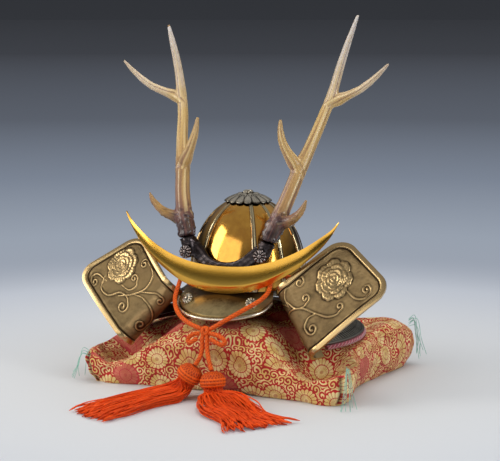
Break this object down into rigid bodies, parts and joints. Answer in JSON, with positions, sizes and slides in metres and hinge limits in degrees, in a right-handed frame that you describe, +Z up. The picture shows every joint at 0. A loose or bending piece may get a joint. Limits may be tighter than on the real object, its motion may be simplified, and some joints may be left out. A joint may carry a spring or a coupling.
{
  "type": "miniature display kabuto helmet on its brocade cushion",
  "caption": "A display kabuto: ribbed gilt bowl, crescent and antlers, engraved side plates, lapped neck guard, orange cord with tassels, red brocade cushion",
  "frame": {"origin": "centre of the box round everything except the cord and its tassels, at the height of the ground", "axes": "+X is the wearer's left, +Y is the back, +Z is up; the visor faces -Y"},
  "size_m": [0.2897, 0.3098, 0.3258],
  "materials": {
    "gilt": "polished gilt",
    "antique_brass": "antiqued, worn bright on its edges",
    "silvered": "silvered, dark in its recesses",
    "bronze": "smoky dark bronze",
    "steel": "grey lacquer",
    "antler": "cast resin, tinted tan to dark brown",
    "brocade": "woven red brocade with cream and gold flowers",
    "lacing": "red lacing",
    "cord": "braided orange silk"
  },
  "bodies": {
    "root": {"bowl": "gilt", "crown_finial": "silvered", "visor": "antique_brass", "visor_rim": "silvered", "visor_rivet_left": "silvered", "visor_rivet_right": "silvered", "crescent": "gilt", "antler_yoke": "bronze", "rosette_left": "bronze", "rosette_right": "bronze", "antler_left": "antler", "antler_right": "antler", "side_plate_right": "antique_brass", "side_plate_left": "antique_brass", "neck_guard_upper": "steel", "neck_guard_middle": "steel", "neck_guard_lower": "steel", "neck_guard_lacing": "lacing", "cushion": "brocade", "cord_loop": "cord", "cord_knot": "cord", "cord_bow_right": "cord", "cord_bow_left": "cord", "cord_end_left": "cord", "cord_end_right": "cord", "tassel_left": "cord", "tassel_right": "cord"}
  },
  "joints": []
}
